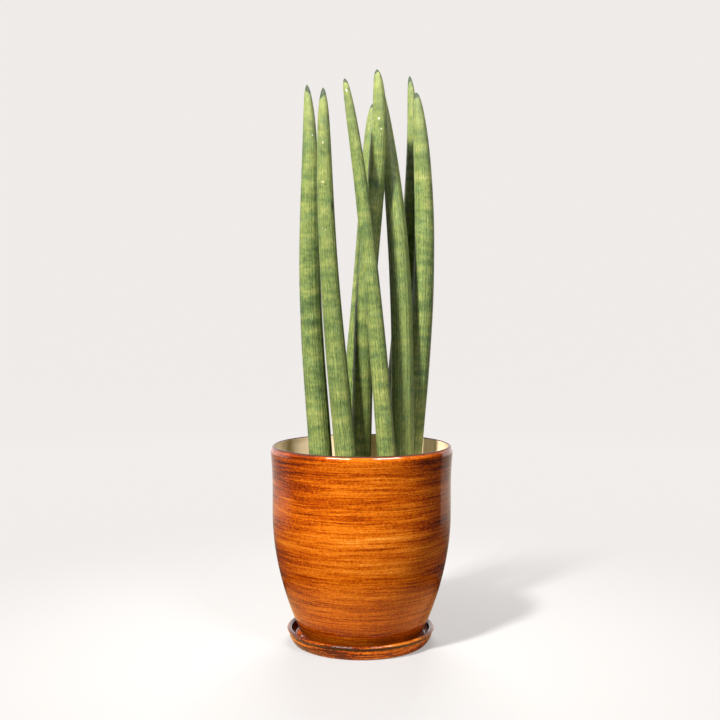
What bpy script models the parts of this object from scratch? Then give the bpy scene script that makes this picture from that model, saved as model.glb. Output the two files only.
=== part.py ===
"""Cylindrical snake plant: round tapering spears in a glazed pot that stands in its own saucer."""

import bmesh
import bpy
import numpy as np

# Driving dimensions, in metres unless the name says otherwise.
# The pot's axis is X = Y = 0, the saucer's foot stands on Z = 0 and the photographed side faces -Y.
MM = 0.001
GAP = 0.0003
TURN_STEPS = 64

SAUCER_OFFSET_X = -0.0012
SAUCER_FOOT_RADIUS = 0.0672
SAUCER_FOOT_WIDTH = 0.0150
SAUCER_RECESS = 0.0010
SAUCER_FLOOR_TOP = 0.0036
SAUCER_FLOOR_RADIUS = 0.0640
SAUCER_BEAD_RADIUS = 0.0716
SAUCER_BEAD_HALF_WIDTH = 0.0024
SAUCER_BEAD_HALF_HEIGHT = 0.0016
SAUCER_BEAD_HEIGHT = 0.0131
SAUCER_WALL_LEAN = 0.0048
SAUCER_WALL_TOP = 0.0108
SMALL_BEVEL = 0.0010

POT_FOOT_Z = SAUCER_FLOOR_TOP + GAP
POT_FOOT_RADIUS = 0.0590
POT_FOOT_WIDTH = 0.0085
POT_FOOT_RECESS = 0.0025
POT_FLOOR_THICKNESS = 0.0070
POT_BELLY_RADIUS = 0.0896
POT_BELLY_Z = 0.1290
POT_BELLY_POWER = 1.9
POT_FLARE = 0.0024
POT_FLARE_Z = 0.1550
POT_RIM_Z = 0.1981
POT_LIP_HEIGHT = 0.0022
POT_WALL_TOP = 0.0046
POT_WALL_BOTTOM = 0.0062
POT_INNER_CORNER = 0.0040
POT_INNER_RING_Z = 0.1850
POT_NECK_RING_Z = 0.1740
DRAIN_RADIUS = 0.0070

SOIL_Z = 0.1650
SOIL_CROWN = 0.0020
SOIL_CROWN_RADIUS = 0.0450

SPEAR_FOOT_Z = 0.1400
SPEAR_STUB = 0.0025
SPEAR_SIDES_RESOLUTION = 4
SPEAR_RINGS = 16
SPEAR_TIP_RADIUS = 0.00035
RHIZOME_RADIUS = 0.0065

# Each spear, in millimetres: its sideways places at five equal steps of height from foot to tip,
# its depth at foot and tip, the height of its tip, its thickness at the foot, and the two powers
# of its taper, which give thickness x (1 - t^belly)^point at the fraction t of its height.
SPEARS = {
    "leaf_1": dict(side=(-39.5, -45.0, -51.0, -51.5, -54.5), depth=(-2, 4), tip=556.5,
                   thick=22.8, belly=2.9, point=0.45),
    "leaf_2": dict(side=(-11.0, -20.5, -29.5, -35.0, -37.0), depth=(-20, -34), tip=546.0,
                   thick=22.0, belly=1.0, point=0.26),
    "leaf_3": dict(side=(28.0, 20.5, 11.0, -0.5, -16.5), depth=(-23, -30), tip=555.5,
                   thick=18.6, belly=1.0, point=0.28),
    "leaf_4": dict(side=(-19.5, -10.0, 0.0, 7.0, 11.5), depth=(26, 44), tip=545.0,
                   thick=20.5, belly=6.0, point=0.44),
    "leaf_5": dict(side=(-4.5, 1.0, 5.0, 14.5, 15.0), depth=(3, 0), tip=570.5,
                   thick=19.4, belly=4.4, point=0.35),
    "leaf_6": dict(side=(43.0, 41.0, 39.5, 32.0, 21.0), depth=(0, 24), tip=557.0,
                   thick=22.0, belly=4.0, point=0.64),
    "leaf_7": dict(side=(31.5, 36.5, 45.5, 53.0, 50.0), depth=(46, 60), tip=576.5,
                   thick=20.0, belly=2.0, point=0.39),
    "leaf_8": dict(side=(48.0, 56.0, 63.0, 63.5, 55.5), depth=(24, 34), tip=554.5,
                   thick=21.0, belly=4.0, point=0.37),
}
# The runner passes under the feet in this order, from its cut end to its growing end.
RHIZOME_ROUTE = ("leaf_1", "leaf_2", "leaf_3", "leaf_6", "leaf_8", "leaf_7", "leaf_4", "leaf_5")


def make_collection(name):
    collection = bpy.data.collections.new(name)
    bpy.context.scene.collection.children.link(collection)
    return collection


def make_material(name, colour, roughness):
    material = bpy.data.materials.new(name)
    material.use_nodes = True
    shader = material.node_tree.nodes["Principled BSDF"]
    shader.inputs["Base Color"].default_value = (*colour, 1.0)
    shader.inputs["Roughness"].default_value = roughness
    shader.inputs["Metallic"].default_value = 0.0
    return material


def arc(centre, half_sizes, start_degrees, end_degrees, count):
    """Points along a stretch of an ellipse, in the profile's plane."""
    angles = np.radians(np.linspace(start_degrees, end_degrees, count))
    across = centre[0] + half_sizes[0] * np.cos(angles)
    up = centre[1] + half_sizes[1] * np.sin(angles)
    return list(zip(across, up))


def turn(name, profile, is_loop, collection, material):
    """Turns a profile of (radius, height) points round the Z axis."""
    count = len(profile)
    edges = [(i, i + 1) for i in range(count - 1)]
    if is_loop:
        edges.append((count - 1, 0))
    mesh = bpy.data.meshes.new(name)
    mesh.from_pydata([(radius, 0.0, height) for radius, height in profile], edges, [])
    mesh.materials.append(material)
    piece = bpy.data.objects.new(name, mesh)
    collection.objects.link(piece)
    screw = piece.modifiers.new("turning", "SCREW")
    screw.axis = "Z"
    screw.steps = TURN_STEPS
    screw.render_steps = TURN_STEPS
    screw.use_merge_vertices = True
    screw.merge_threshold = 0.0001
    screw.use_smooth_shade = True
    return piece


def pot_outer_radius(height):
    """A parabola-like belly up to the straight wall, then a slight flare to the rim."""
    rise = np.clip((height - POT_FOOT_Z) / (POT_BELLY_Z - POT_FOOT_Z), 0.0, 1.0)
    swell = 1.0 - (1.0 - rise) ** POT_BELLY_POWER
    flare = np.clip((height - POT_FLARE_Z) / (POT_RIM_Z - POT_FLARE_Z), 0.0, 1.0) ** 2
    return POT_FOOT_RADIUS + (POT_BELLY_RADIUS - POT_FOOT_RADIUS) * swell + POT_FLARE * flare


def pot_inner_radius(height):
    rise = (height - POT_FOOT_Z) / (POT_RIM_Z - POT_FOOT_Z)
    wall = POT_WALL_BOTTOM + (POT_WALL_TOP - POT_WALL_BOTTOM) * rise
    return pot_outer_radius(height) - wall


def pot_floor_top():
    return POT_FOOT_Z + POT_FOOT_RECESS + POT_FLOOR_THICKNESS


def inner_wall_heights():
    """Heights of the inner wall's rings, shared by the pot and the soil that fills it."""
    return np.concatenate((
        [pot_floor_top() + POT_INNER_CORNER],
        np.linspace(2 * pot_floor_top(), POT_BELLY_Z, 6),
        [POT_FLARE_Z, SOIL_Z],
    ))


def make_saucer(collection):
    bead = (SAUCER_BEAD_RADIUS, SAUCER_BEAD_HEIGHT)
    bead_sizes = (SAUCER_BEAD_HALF_WIDTH, SAUCER_BEAD_HALF_HEIGHT)
    profile = [
        (0.0, SAUCER_FLOOR_TOP),
        (SAUCER_FLOOR_RADIUS, SAUCER_FLOOR_TOP),
        (SAUCER_FLOOR_RADIUS + 0.0022, SAUCER_FLOOR_TOP + 0.0010),
        (SAUCER_FLOOR_RADIUS + 0.0038, SAUCER_FLOOR_TOP + 0.0040),
    ]
    profile += arc(bead, bead_sizes, 195, -50, 9)
    profile += [
        (SAUCER_FOOT_RADIUS + SAUCER_WALL_LEAN, SAUCER_WALL_TOP),
        (SAUCER_FOOT_RADIUS + SMALL_BEVEL, SMALL_BEVEL),
        (SAUCER_FOOT_RADIUS, 0.0),
        (SAUCER_FOOT_RADIUS - SAUCER_FOOT_WIDTH, 0.0),
        (SAUCER_FOOT_RADIUS - SAUCER_FOOT_WIDTH - SMALL_BEVEL, SAUCER_RECESS),
        (0.0, SAUCER_RECESS),
    ]
    material = make_material("saucer_glaze", (0.42, 0.13, 0.03), 0.15)
    saucer = turn("saucer", profile, False, collection, material)
    saucer.location.x = SAUCER_OFFSET_X


def make_pot(collection):
    floor_top = pot_floor_top()
    recess_z = POT_FOOT_Z + POT_FOOT_RECESS
    lip_z = POT_RIM_Z - POT_LIP_HEIGHT
    outer_lip = float(pot_outer_radius(lip_z))
    lip_half_width = POT_WALL_TOP / 2
    floor_edge = float(pot_inner_radius(floor_top)) - POT_INNER_CORNER
    profile = [(DRAIN_RADIUS, floor_top), (floor_edge, floor_top)]
    profile += [(float(pot_inner_radius(z)), z) for z in (*inner_wall_heights(), POT_INNER_RING_Z)]
    profile += arc((outer_lip - lip_half_width, lip_z), (lip_half_width, POT_LIP_HEIGHT), 180, 0, 9)
    outer_heights = np.concatenate((
        [POT_INNER_RING_Z, POT_NECK_RING_Z, POT_FLARE_Z],
        np.linspace(POT_BELLY_Z, POT_FOOT_Z + 2 * SMALL_BEVEL, 10),
    ))
    profile += [(float(pot_outer_radius(z)), z) for z in outer_heights]
    profile += [
        (POT_FOOT_RADIUS - SMALL_BEVEL, POT_FOOT_Z),
        (POT_FOOT_RADIUS - POT_FOOT_WIDTH, POT_FOOT_Z),
        (POT_FOOT_RADIUS - POT_FOOT_WIDTH - SMALL_BEVEL, recess_z),
        (DRAIN_RADIUS, recess_z),
    ]
    material = make_material("pot_glaze", (0.55, 0.19, 0.03), 0.12)
    turn("pot", profile, True, collection, material)


def spear_path(spear, fractions):
    """Points up a spear: a smooth curve through its five sideways places."""
    stations = np.linspace(0.0, 1.0, len(spear["side"]))
    side = np.zeros_like(fractions)
    for i, place in enumerate(spear["side"]):
        others = np.delete(stations, i)
        weight = np.prod([(fractions - other) / (stations[i] - other) for other in others], axis=0)
        side = side + place * MM * weight
    depth = np.interp(fractions, (0.0, 1.0), np.array(spear["depth"]) * MM)
    height = SPEAR_FOOT_Z + (spear["tip"] * MM - SPEAR_FOOT_Z) * fractions
    return np.column_stack((side, depth, height))


def spear_radius(spear, fractions):
    taper = (1.0 - fractions ** spear["belly"]) ** spear["point"]
    return np.maximum(spear["thick"] * MM / 2 * taper, SPEAR_TIP_RADIUS)


def sweep(name, points, radii, collection, resolution):
    """A round bar of changing radius along a path, as a closed mesh."""
    curve = bpy.data.curves.new(name, "CURVE")
    curve.dimensions = "3D"
    curve.bevel_depth = 1.0
    curve.bevel_resolution = resolution
    curve.use_fill_caps = True
    spline = curve.splines.new("POLY")
    spline.points.add(len(points) - 1)
    for control, place, radius in zip(spline.points, points, radii):
        control.co = (*place, 1.0)
        control.radius = radius
    bar = bpy.data.objects.new(name, curve)
    collection.objects.link(bar)
    depsgraph = bpy.context.evaluated_depsgraph_get()
    mesh = bpy.data.meshes.new_from_object(bar.evaluated_get(depsgraph))
    shape = bmesh.new()
    shape.from_mesh(mesh)
    bmesh.ops.remove_doubles(shape, verts=shape.verts, dist=0.00001)
    bmesh.ops.recalc_face_normals(shape, faces=shape.faces)
    shape.to_mesh(mesh)
    shape.free()
    mesh.shade_smooth()
    mesh.set_sharp_from_angle(angle=np.radians(50))
    piece = bpy.data.objects.new(name + "_bar", mesh)
    piece.matrix_world = bar.matrix_world
    collection.objects.link(piece)
    bpy.data.objects.remove(bar)
    piece.name = name
    return piece


def make_spear(name, collection, grow=0.0, sink=0.0):
    spear = SPEARS[name]
    # Rings crowd towards the tip, where the taper is quickest.
    fractions = 1.0 - (1.0 - np.linspace(0.0, 1.0, SPEAR_RINGS)) ** 1.8
    path = spear_path(spear, fractions)
    # A short upright stub below the path gives the foot a level end.
    foot = path[0] - (0.0, 0.0, SPEAR_STUB + sink)
    points = np.vstack((foot, path))
    radii = spear_radius(spear, fractions) + grow
    radii = np.concatenate((radii[:1], radii))
    label = name if grow == 0.0 else name + "_socket"
    return sweep(label, points, radii, collection, SPEAR_SIDES_RESOLUTION)


def make_rhizome(collection, grow=0.0):
    """A fleshy runner on one smooth curve that passes under the feet of the spears."""
    centre_z = SPEAR_FOOT_Z - SPEAR_STUB - GAP - RHIZOME_RADIUS
    feet = np.array([(SPEARS[name]["side"][0], SPEARS[name]["depth"][0]) for name in RHIZOME_ROUTE])
    feet = feet * MM
    ends = np.vstack((2 * feet[0] - feet[1], feet, 2 * feet[-1] - feet[-2]))
    points = []
    steps = np.linspace(0.0, 1.0, 5)[:-1]
    for a, b, c, d in zip(ends, ends[1:], ends[2:], ends[3:]):
        for s in steps:
            bend = 2 * b + (c - a) * s + (2 * a - 5 * b + 4 * c - d) * s ** 2
            points.append((bend + (3 * b - a - 3 * c + d) * s ** 3) / 2)
    points.append(feet[-1])
    places = [(x, y, centre_z) for x, y in points]
    radii = [RHIZOME_RADIUS + grow] * len(places)
    label = "rhizome" if grow == 0.0 else "rhizome_socket"
    return sweep(label, places, radii, collection, 3)


def make_soil(collection, cutters):
    heights = inner_wall_heights()[::-1]
    floor_z = pot_floor_top() + GAP
    wall_gap = 1.2 * GAP
    floor_edge = float(pot_inner_radius(pot_floor_top())) - POT_INNER_CORNER - 2 * GAP
    profile = [(0.0, SOIL_Z + SOIL_CROWN), (SOIL_CROWN_RADIUS, SOIL_Z + SOIL_CROWN * 0.7)]
    profile += [(float(pot_inner_radius(z)) - wall_gap, z) for z in heights]
    profile += [(floor_edge, floor_z), (0.0, floor_z)]
    material = make_material("potting_mix", (0.05, 0.03, 0.02), 0.95)
    soil = turn("soil", profile, False, collection, material)
    sockets = [make_spear(name, cutters, grow=GAP, sink=2 * GAP) for name in SPEARS]
    sockets.append(make_rhizome(cutters, grow=GAP))
    for socket in sockets:
        socket.hide_render = True
        socket.display_type = "WIRE"
        cut = soil.modifiers.new(socket.name, "BOOLEAN")
        cut.operation = "DIFFERENCE"
        cut.solver = "EXACT"
        cut.object = socket


def make_plant(collection):
    for name in SPEARS:
        spear = make_spear(name, collection)
        spear.data.materials.append(make_material(name + "_skin", (0.30, 0.42, 0.14), 0.45))
    rhizome = make_rhizome(collection)
    rhizome.data.materials.append(make_material("rhizome_skin", (0.62, 0.36, 0.16), 0.7))


def main():
    for leftover in list(bpy.data.objects):
        bpy.data.objects.remove(leftover, do_unlink=True)
    parts = make_collection("cylindrical_snake_plant")
    cutters = make_collection("cutters")
    make_saucer(parts)
    make_pot(parts)
    make_plant(parts)
    make_soil(parts, cutters)


main()
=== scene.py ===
# Cylindrical snake plant in its glazed pot and saucer: the finished surfaces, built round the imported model.
import math

import bpy
import numpy as np
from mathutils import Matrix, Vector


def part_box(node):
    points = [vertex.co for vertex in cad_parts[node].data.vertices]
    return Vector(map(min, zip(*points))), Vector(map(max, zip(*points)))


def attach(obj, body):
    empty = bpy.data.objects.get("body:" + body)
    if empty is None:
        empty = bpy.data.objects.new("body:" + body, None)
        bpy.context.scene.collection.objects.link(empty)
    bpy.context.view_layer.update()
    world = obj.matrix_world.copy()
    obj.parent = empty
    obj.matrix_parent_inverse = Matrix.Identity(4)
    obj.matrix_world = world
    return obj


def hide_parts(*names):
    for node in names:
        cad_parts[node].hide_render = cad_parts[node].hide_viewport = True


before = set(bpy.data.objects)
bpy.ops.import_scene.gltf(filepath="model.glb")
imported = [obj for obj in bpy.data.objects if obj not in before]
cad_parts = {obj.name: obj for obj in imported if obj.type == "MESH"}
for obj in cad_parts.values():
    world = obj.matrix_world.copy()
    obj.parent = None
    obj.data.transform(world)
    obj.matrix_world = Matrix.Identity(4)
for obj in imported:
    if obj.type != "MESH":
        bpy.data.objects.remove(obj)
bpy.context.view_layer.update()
print("frame loaded:", sorted(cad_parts))

scene = bpy.context.scene
scene.view_settings.view_transform = "Standard"
fullTurn = 2.0 * math.pi
millimetre = 0.001


# Helpers for meshes

# Whole arrays go into the mesh; faces is a list of arrays with one row of corners for each face.
def addPiece(name, vertices, faces, material, masks=None):
    mesh = bpy.data.meshes.new(name)
    corners = np.concatenate([part.reshape(-1) for part in faces])
    sizes = np.concatenate([np.full(len(part), part.shape[1]) for part in faces])
    mesh.vertices.add(len(vertices))
    mesh.vertices.foreach_set("co", np.ascontiguousarray(vertices, np.float32).reshape(-1))
    mesh.loops.add(len(corners))
    mesh.loops.foreach_set("vertex_index", corners.astype(np.int32))
    mesh.polygons.add(len(sizes))
    mesh.polygons.foreach_set("loop_start", (np.cumsum(sizes) - sizes).astype(np.int32))
    mesh.update(calc_edges=True)
    mesh.validate()
    mesh.shade_smooth()
    for label, values in (masks or {}).items():
        kind, field = ("FLOAT", "value") if values.ndim == 1 else ("FLOAT_VECTOR", "vector")
        layer = mesh.attributes.new(label, kind, "POINT")
        layer.data.foreach_set(field, np.ascontiguousarray(values, np.float32).reshape(-1))
    mesh.materials.append(material)
    piece = bpy.data.objects.new(name, mesh)
    scene.collection.objects.link(piece)
    return piece


# Quads of a grid whose columns close into a ring; its rows close too if loopRows is true.
def gridFaces(rows, columns, loopRows=False):
    down = np.arange(rows if loopRows else rows - 1)[:, None]
    across = np.arange(columns)[None, :]
    nextDown = (down + 1) % rows
    nextAcross = (across + 1) % columns
    quads = np.stack((down * columns + across, down * columns + nextAcross,
                      nextDown * columns + nextAcross, nextDown * columns + across), axis=-1)
    return quads.reshape(-1, 4)


# Triangles from one pole vertex to a ring of the grid.
def poleFaces(pole, ringStart, columns, flip):
    across = np.arange(columns)
    ends = (ringStart + across, ringStart + (across + 1) % columns)
    first, second = ends[::-1] if flip else ends
    return np.stack((np.full(columns, pole), first, second), axis=-1)


# A grid and the two poles that close it, whose vertices come after the grid's. Faces point outwards for
# rows that run upwards, or downwards if topFirst is true.
def closedFaces(rows, columns, topFirst):
    quads, count = gridFaces(rows, columns), rows * columns
    return [quads[:, ::-1] if topFirst else quads,
            poleFaces(count, 0, columns, not topFirst),
            poleFaces(count + 1, count - columns, columns, topFirst)]


# A profile turned round the Z axis: x = radius cos(angle), y = radius sin(angle).
def turnedGrid(radii, heights, columns):
    angles = np.linspace(0.0, fullTurn, columns, endpoint=False)
    return np.stack((radii[:, None] * np.cos(angles), radii[:, None] * np.sin(angles),
                     heights[:, None] + 0.0 * angles), axis=-1)


# A turned profile as a piece. A loop closes on itself; an open profile starts and ends on the axis, where
# one vertex closes it.
def turnedPiece(name, profile, columns, material, loop=False, centreX=0.0, masks=None):
    rings = slice(None) if loop else slice(1, -1)
    body = profile[rings]
    vertices = turnedGrid(body[:, 0], body[:, 1], columns).reshape(-1, 3)
    values = {label: np.repeat(mask[rings], columns) for label, mask in (masks or {}).items()}
    if loop:
        faces = [gridFaces(len(body), columns, True)[:, ::-1]]
    else:
        faces = closedFaces(len(body), columns, topFirst=True)
        vertices = np.vstack((vertices, (0.0, 0.0, profile[0, 1]), (0.0, 0.0, profile[-1, 1])))
        values = {label: np.append(part, masks[label][[0, -1]]) for label, part in values.items()}
    return addPiece(name, vertices + (centreX, 0.0, 0.0), faces, material, values)


# Points along an ellipse: centre + (half width cos(a), half height sin(a)).
def arcPoints(centre, halfSizes, startDegrees, endDegrees, count):
    angles = np.radians(np.linspace(startDegrees, endDegrees, count))
    return np.array(centre) + np.column_stack((np.cos(angles), np.sin(angles))) * halfSizes


# t^2 (3 - 2t), with t running from 0 at low to 1 at high.
def smoothStep(low, high, values):
    part = np.clip((values - low) / (high - low), 0.0, 1.0)
    return part * part * (3.0 - 2.0 * part)


# exp(-(distance / width)^2)
def bell(distance, width):
    return np.exp(-(distance / width) ** 2)


# Radians between two angles, the short way round.
def turnGap(first, second):
    return np.abs((first - second + math.pi) % fullTurn - math.pi)


# Smooth noise: cosine waves with random directions, phases and wavelengths, added up.
def waveNoise(rng, coordinates, wavelengths, count):
    total = np.zeros(coordinates.shape[:-1])
    for _ in range(count):
        direction = rng.normal(size=coordinates.shape[-1])
        direction /= np.linalg.norm(direction)
        length = rng.uniform(*wavelengths)
        total += np.cos(coordinates @ direction * (fullTurn / length) + rng.uniform(0.0, fullTurn))
    return total / math.sqrt(count)


# Helpers for materials. In the dictionaries below, a scale is in features per metre, and a range is where
# an effect starts and ends, with its amounts there if they aren't 0 and 1.

def setInputs(tree, sockets, inputs):
    for key, value in inputs.items():
        if isinstance(value, bpy.types.NodeSocket):
            tree.links.new(value, sockets[key])
        else:
            sockets[key].default_value = value


def addNode(tree, kind, inputs=None, **settings):
    made = tree.nodes.new("ShaderNode" + kind)
    for key, value in settings.items():
        setattr(made, key, value)
    setInputs(tree, made.inputs, inputs or {})
    return made


# Noise stretched by a scale for each axis.
def noise(tree, vector, scale, detail=2.0, roughness=0.5):
    stretched = addNode(tree, "Mapping", {"Vector": vector, "Scale": scale})
    return addNode(tree, "TexNoise", {"Vector": stretched.outputs[0], "Scale": 1.0, "Detail": detail,
                                      "Roughness": roughness}).outputs[0]


# Smooth step from low to high.
def remap(tree, value, low, high, toLow=0.0, toHigh=1.0):
    return addNode(tree, "MapRange", {0: value, 1: low, 2: high, 3: toLow, 4: toHigh},
                   interpolation_type="SMOOTHSTEP").outputs[0]


def maths(tree, operation, first, second=0.0, third=0.0):
    return addNode(tree, "Math", {0: first, 1: second, 2: third}, operation=operation).outputs[0]


# Noise less its mean, times a share, plus what is there already.
def addSwing(tree, value, share, below=0.0):
    return maths(tree, "MULTIPLY_ADD", maths(tree, "SUBTRACT", value, 0.5), share, below)


def mixValues(tree, amount, below, above):
    return addNode(tree, "Mix", {0: amount, 2: below, 3: above}).outputs[0]


def mixColours(tree, amount, below, above, blend="MIX"):
    colours = {0: amount, 6: below, 7: above}
    return addNode(tree, "Mix", colours, data_type="RGBA", blend_type=blend).outputs[2]


def colourRamp(tree, value, stops):
    ramp = addNode(tree, "ValToRGB", {0: value})
    elements = ramp.color_ramp.elements
    elements[0].position, elements[0].color = stops[0][0], (*stops[0][1], 1)
    elements[1].position, elements[1].color = stops[-1][0], (*stops[-1][1], 1)
    for position, colour in stops[1:-1]:
        elements.new(position).color = (*colour, 1)
    return ramp.outputs[0]


def attribute(tree, label, output="Fac"):
    return addNode(tree, "Attribute", attribute_name=label).outputs[output]


def objectPlace(tree):
    return addNode(tree, "TexCoord").outputs["Object"]


def axisParts(tree, vector):
    return addNode(tree, "SeparateXYZ", {0: vector}).outputs


def vectorLength(tree, vector):
    return addNode(tree, "VectorMath", {0: vector}, operation="LENGTH").outputs["Value"]


# An empty node group with named sockets; returns its tree, its inner input and its inner output.
def makeGroup(name, inputs, outputs):
    tree = bpy.data.node_groups.new(name, "ShaderNodeTree")
    for label, kind in inputs.items():
        tree.interface.new_socket(label, in_out="INPUT", socket_type="NodeSocket" + kind)
    for label, kind in outputs.items():
        tree.interface.new_socket(label, in_out="OUTPUT", socket_type="NodeSocket" + kind)
    return tree, tree.nodes.new("NodeGroupInput").outputs, tree.nodes.new("NodeGroupOutput").inputs


def useGroup(tree, group, inputs):
    made = tree.nodes.new("ShaderNodeGroup")
    made.node_tree = group
    setInputs(tree, made.inputs, inputs)
    return made.outputs


# A new material with constants set straight on the sockets of its Principled BSDF.
def makeMaterial(name, constants):
    material = bpy.data.materials.new(name)
    material.use_nodes = True
    shader = material.node_tree.nodes["Principled BSDF"].inputs
    for key, value in constants.items():
        shader[key].default_value = value
    return material, material.node_tree, shader


def bumpNormal(tree, height, distance):
    return addNode(tree, "Bump", {"Height": height, "Distance": distance}).outputs[0]


# Leaves

# Metres, unless a note says otherwise.
leafMesh = dict(
    around=224,                 # columns round each leaf
    along=176,                  # rings up each leaf
    crowding=1.8,               # how strongly the rings crowd towards the tip
    startHeight=0.1400,         # where the curved path starts, under the soil
    footHeight=0.1375,
    footRounding=0.0012,
    footRings=(0.02, 0.2, 0.55, 1.0),       # of the rounding, as shares of its height
    nibPower=0.35,              # sharpening of the tip
    fullness=0.00045,           # how far the ridges stand proud of the measured radius
    grooveDepth=0.00022,
    grooveWidth=0.00042,
    grooveStray=0.27,           # from even spacing, as a share of it
    grooveDepths=(0.35, 1.30),  # least and most, as shares of grooveDepth
    grooveSwings=(0.01, 0.03),  # radians that a furrow snakes to each side
    grooveWaves=(0.16, 0.42),   # length of one wave of that
    valleyDepth=0.00010,
    valleyWidth=0.0011,
    channelDepth=0.0004,        # one wider channel along the leaf
    channelWidth=0.0045,
    channelFade=(0.55, 0.95),   # shares of the height between which it fades
    channelLoss=0.8,            # share of its depth that goes
    smoothTip=0.030,            # the furrows fade out over this length
    unevenness=0.012,           # slow swelling, as a share of the radius
    swellingWaves=(0.02, 0.07),
    swellingCount=14,           # waves added up
    swellingStretch=0.35,       # they are this much longer along the leaf, as 1 / stretch
    firstSeed=11,
)

# Millimetres: sideways places at five equal steps of height, depth at foot and tip, tip height,
# thickness at the foot and the two powers of the taper. Then each leaf's own finish: how many furrows,
# where its channel and its brown margin run (degrees, 0 to the right and 90 to the back), sharpness of
# the tip, strength and spacing of the bands, length and slant of the dark cap, and its general tone.
# The channel's dark colour is painted shade; on leaves 1 to 5 it runs near the right edge, where the leaf is
# in shade.
leaves = {
    "leaf_1": dict(side=(-39.5, -45.0, -51.0, -51.5, -54.5), depth=(-2, 4), tip=556.5, thick=22.8,
                   belly=2.9, point=0.45, grooves=24, channel=2, margin=60, nib=2.5,
                   bands=1.00, spacing=62, cap=9, slant=-3, tone=0.00),
    "leaf_2": dict(side=(-11.0, -20.5, -29.5, -35.0, -37.0), depth=(-20, -34), tip=546.0, thick=22.0,
                   belly=1.0, point=0.26, grooves=23, channel=-6, margin=187, nib=11.0,
                   bands=0.85, spacing=66, cap=10, slant=3, tone=0.03),
    "leaf_3": dict(side=(28.0, 20.5, 11.0, -0.5, -16.5), depth=(-23, -30), tip=555.5, thick=18.6,
                   belly=1.0, point=0.28, grooves=20, channel=4, margin=100, nib=3.0,
                   bands=0.85, spacing=64, cap=5, slant=-1, tone=0.04),
    "leaf_4": dict(side=(-19.5, -10.0, 0.0, 7.0, 11.5), depth=(26, 44), tip=545.0, thick=20.5,
                   belly=6.0, point=0.44, grooves=22, channel=30, margin=60, nib=2.5,
                   bands=0.85, spacing=64, cap=5, slant=0, tone=-0.02),
    "leaf_5": dict(side=(-4.5, 1.0, 5.0, 14.5, 15.0), depth=(3, 0), tip=570.5, thick=19.4,
                   belly=4.4, point=0.35, grooves=21, channel=6, margin=110, nib=2.5,
                   bands=0.90, spacing=60, cap=4, slant=2, tone=0.03),
    # leaf_6's tone is raised as painted light, to make up for the shade that leaf_3 and leaf_5 cast on its
    # left side.
    "leaf_6": dict(side=(43.0, 41.0, 39.5, 32.0, 21.0), depth=(0, 24), tip=557.0, thick=22.0,
                   belly=4.0, point=0.64, grooves=23, channel=100, margin=60, nib=2.5,
                   bands=0.45, spacing=50, cap=6, slant=0, tone=0.04),
    "leaf_7": dict(side=(31.5, 36.5, 45.5, 53.0, 50.0), depth=(46, 60), tip=576.5, thick=20.0,
                   belly=2.0, point=0.39, grooves=21, channel=150, margin=120, nib=3.0,
                   bands=0.95, spacing=66, cap=7, slant=2, tone=0.00),
    "leaf_8": dict(side=(48.0, 56.0, 63.0, 63.5, 55.5), depth=(24, 34), tip=554.5, thick=21.0,
                   belly=4.0, point=0.37, grooves=22, channel=140, margin=60, nib=2.5,
                   bands=0.95, spacing=62, cap=7, slant=1, tone=0.02),
}

# Scars and glints: place in millimetres, half sizes sideways and upwards, and kind.
leafMarks = {
    "leaf_1": (((-48.6, -4, 505.6), (0.7, 0.9), "glint"),),
    "leaf_2": (((-37.3, -39, 493.1), (0.8, 1.1), "tan"), ((-37.5, -41, 455.9), (1.9, 0.7), "tan"),
               ((-39.9, -41, 451.2), (0.9, 1.3), "dark"), ((-34.7, -41, 453.5), (1.0, 0.8), "dark"),
               ((-35.0, -41, 410.3), (1.0, 0.8), "tan"), ((-38.1, -41, 411.7), (0.7, 0.7), "tan"),
               ((-28.3, -34, 433.5), (1.3, 5.5), "dark")),
    "leaf_3": (((-14.6, -35, 543.5), (0.8, 1.2), "glint"),),
    "leaf_5": (((16.8, -8, 521.6), (0.9, 1.0), "glint"), ((19.2, -8, 511.3), (0.7, 0.8), "glint")),
    "leaf_8": (((52.0, 25, 536.0), (0.5, 12.0), "scar"),),
}
markColours = dict(glint=(0.80, 0.82, 0.72, 1), tan=(0.62, 0.52, 0.30, 1), dark=(0.035, 0.050, 0.022, 1),
                   scar=(0.52, 0.36, 0.20, 1))

# The ragged edge of a mark, and the metres that it reaches into the leaf.
markEdge = dict(scale=(1100.0, 1100.0, 1100.0), swing=1.6, range=(1.15, 0.65), depth=0.006)

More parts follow.
